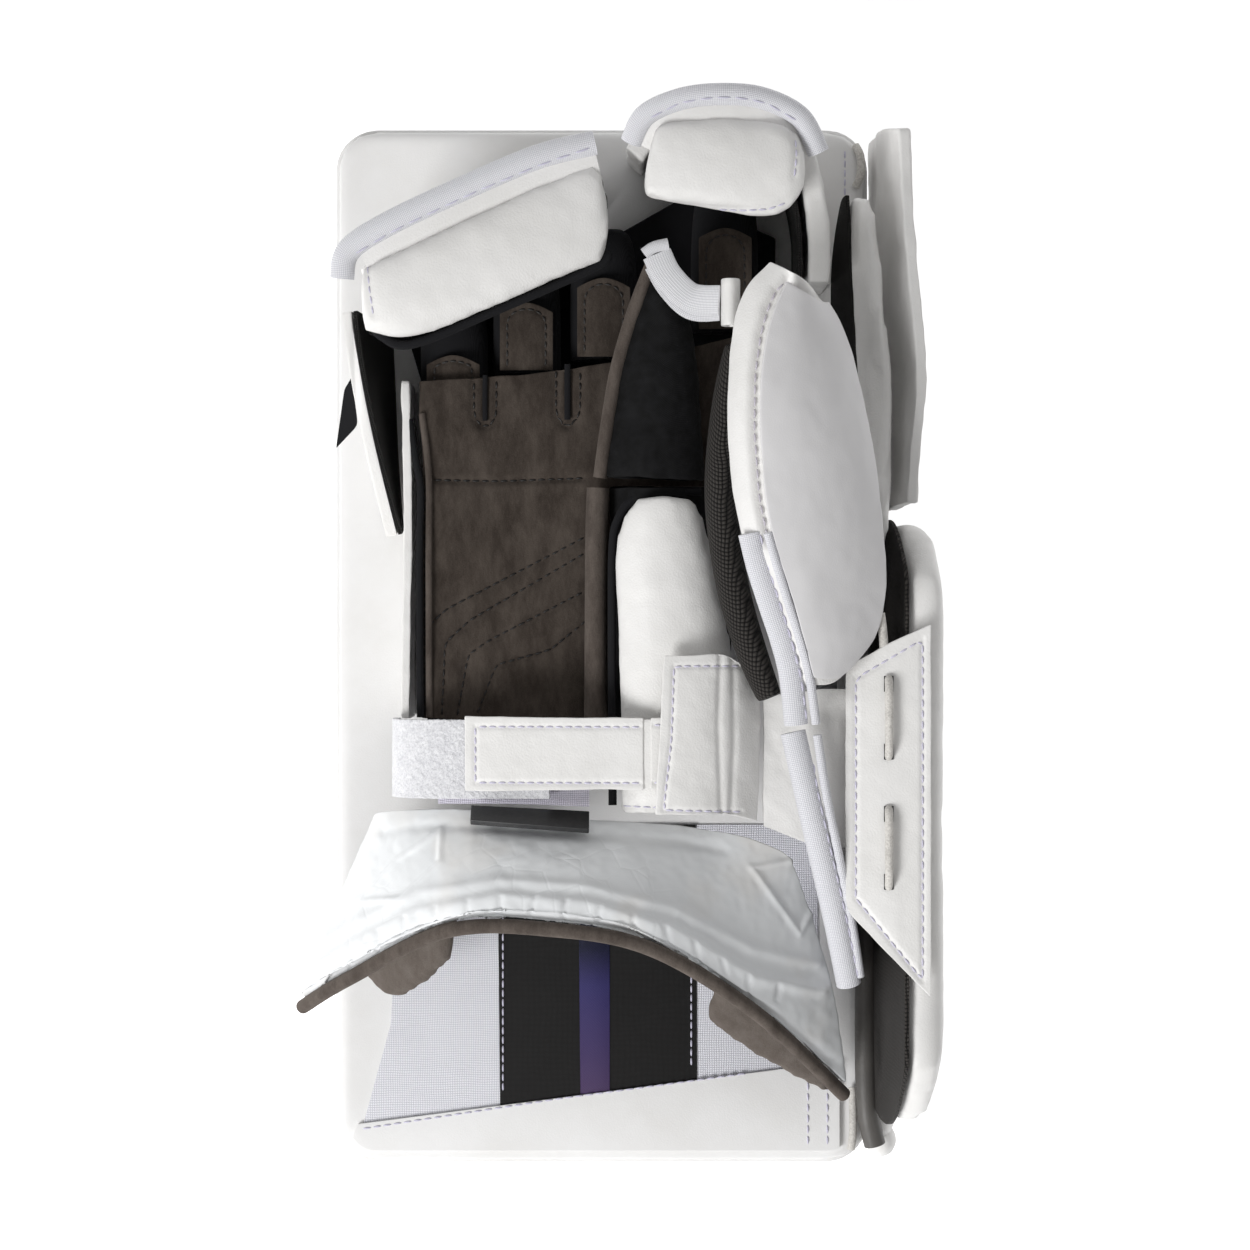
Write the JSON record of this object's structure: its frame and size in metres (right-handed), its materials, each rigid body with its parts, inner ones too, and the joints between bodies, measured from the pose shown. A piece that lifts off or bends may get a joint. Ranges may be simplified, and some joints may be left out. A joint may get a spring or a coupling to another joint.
{
  "type": "goalie blocker",
  "caption": "Flat padded board with an open-palm glove on its back, finger and thumb guards, a flared wrist cuff, a hook-and-loop strap and a laced sideboard.",
  "frame": {"origin": "middle of the board's flat blocking face", "axes": "+X to the thumb side, +Y along the fingers, +Z from the blocking face to the palm"},
  "size_m": [0.2322, 0.3905, 0.124],
  "materials": {
    "white_leather": "soft synthetic leather with a fine grain",
    "grey_leather": "smooth synthetic leather, slightly greyer",
    "suede": "brushed suede, taupe",
    "foam": "closed-cell foam",
    "stiff_sheet": "plain sheet",
    "white_weave": "coarse nylon weave",
    "woven_binding": "tubular woven binding",
    "black_weave": "plain weave",
    "stripe_cloth": "iridescent weave, navy to purple",
    "black_mesh": "ribbed mesh",
    "black_cloth": "smooth stretch cloth",
    "neoprene": "matt neoprene",
    "loop_pile": "fuzzy loop pile",
    "wrist_weave": "woven band",
    "hook_tape": "fine hooks",
    "lace": "round braided lace",
    "moulded_cover": "moulded, satin, creased",
    "rubber_tab": "matt rubber"
  },
  "bodies": {
    "board": {"face_skin": "white_leather", "impact_foam": "foam", "stiffener_sheet": "stiff_sheet", "back_skin": "white_leather", "nylon_panel": "white_weave", "black_panel": "black_weave", "colour_stripe": "stripe_cloth", "hem_band": "white_leather", "backhand_pad": "black_mesh", "palm": "suede", "palm_roll": "suede", "glove_side_wall": "white_leather", "thenar_panel": "neoprene", "heel_pad": "white_leather", "loop_tape": "loop_pile", "strap_anchor": "white_leather", "cross_tab": "white_leather", "wrist_band": "wrist_weave", "link_strap": "white_leather", "side_gusset": "white_weave", "gusset_binding": "woven_binding", "side_wing": "white_leather", "side_wing_liner": "black_mesh", "side_tag": "black_weave", "side_pad": "white_leather", "side_pad_liner": "black_mesh"},
    "little_finger": {"little_stall": "black_cloth", "little_tab": "suede"},
    "ring_finger": {"ring_stall": "black_cloth", "ring_tab": "suede"},
    "middle_finger": {"middle_stall": "black_cloth", "middle_tab": "suede"},
    "index_finger": {"index_stall": "black_cloth", "index_tab": "suede"},
    "thumb": {"thumb_stall": "neoprene"},
    "thumb_guard": {"thumb_guard_shell": "white_leather", "thumb_guard_panel": "grey_leather", "thumb_mesh_roll": "black_mesh", "elastic_strap": "woven_binding", "elastic_loop": "white_leather"},
    "finger_guard": {"finger_guard_wall": "white_leather", "finger_guard_roll": "white_leather", "finger_guard_liner": "black_mesh", "finger_guard_piping": "woven_binding"},
    "index_guard": {"index_guard_wall": "white_leather", "index_guard_roll": "white_leather", "index_guard_liner": "black_mesh", "index_guard_piping": "woven_binding"},
    "sideboard": {"sideboard_pad": "white_leather", "sideboard_liner": "black_mesh", "upper_wing": "white_leather", "sideboard_flap": "white_leather", "flap_laces": "lace"},
    "cuff": {"cuff_shell": "moulded_cover", "cuff_edging": "suede", "left_wrist_pad": "suede", "right_wrist_pad": "suede", "pull_tab": "rubber_tab"},
    "strap": {"wrist_strap": "white_leather", "hook_patch": "hook_tape"}
  },
  "joints": [
    {"name": "thumb_guard_lift", "type": "hinge", "parent": "board", "child": "thumb_guard", "pos_m": [0.07, -0.024, 0.094], "axis": [1, 0, 0], "range_deg": [0, 10], "stiffness_Nm_per_rad": 0.6, "springref_deg": -6.88},
    {"name": "thumb_lift", "type": "hinge", "parent": "board", "child": "thumb", "pos_m": [0.019, 0.06, 0.0815], "axis": [1, 0, 0], "range_deg": [0, 18], "stiffness_Nm_per_rad": 0.04, "springref_deg": -5.73},
    {"name": "little_curl", "type": "hinge", "parent": "board", "child": "little_finger", "pos_m": [-0.0535, 0.093, 0.052], "axis": [1, 0, 0], "range_deg": [0, 12], "stiffness_Nm_per_rad": 0.05, "springref_deg": -5.73},
    {"name": "ring_curl", "type": "hinge", "parent": "board", "child": "ring_finger", "pos_m": [-0.027, 0.099, 0.052], "axis": [1, 0, 0], "range_deg": [0, 12], "stiffness_Nm_per_rad": 0.05, "springref_deg": -5.73},
    {"name": "middle_curl", "type": "hinge", "parent": "board", "child": "middle_finger", "pos_m": [0.001, 0.104, 0.052], "axis": [1, 0, 0], "range_deg": [0, 12], "stiffness_Nm_per_rad": 0.05, "springref_deg": -5.73},
    {"name": "index_curl", "type": "hinge", "parent": "board", "child": "index_finger", "pos_m": [0.045, 0.114, 0.052], "axis": [1, 0, 0], "range_deg": [0, 12], "stiffness_Nm_per_rad": 0.05, "springref_deg": -5.73},
    {"name": "finger_guard_flex", "type": "hinge", "parent": "board", "child": "finger_guard", "pos_m": [-0.045, 0.1575, 0.028], "axis": [-0.9112, -0.4121, 0], "range_deg": [0, 12], "stiffness_Nm_per_rad": 1, "springref_deg": -5.73},
    {"name": "index_guard_flex", "type": "hinge", "parent": "board", "child": "index_guard", "pos_m": [0.044, 0.1945, 0.028], "axis": [-1, 0, 0], "range_deg": [0, 10], "stiffness_Nm_per_rad": 0.8, "springref_deg": -5.73},
    {"name": "sideboard_flex", "type": "hinge", "parent": "board", "child": "sideboard", "pos_m": [0.098, -0.06, 0.012], "axis": [0, 1, 0], "range_deg": [0, 8], "stiffness_Nm_per_rad": 4, "springref_deg": -2.86},
    {"name": "cuff_tilt", "type": "hinge", "parent": "board", "child": "cuff", "pos_m": [0, -0.06, 0.09], "axis": [-1, 0, 0], "range_deg": [0, 15], "stiffness_Nm_per_rad": 0.6, "springref_deg": -5.73},
    {"name": "strap_open", "type": "hinge", "parent": "board", "child": "strap", "pos_m": [0.016, -0.038, 0.099], "axis": [0, 1, 0], "range_deg": [0, 110]}
  ],
  "couplings": [
    {"joint": "thumb_lift", "follows": "thumb_guard_lift", "ratio": 1.8}
  ]
}
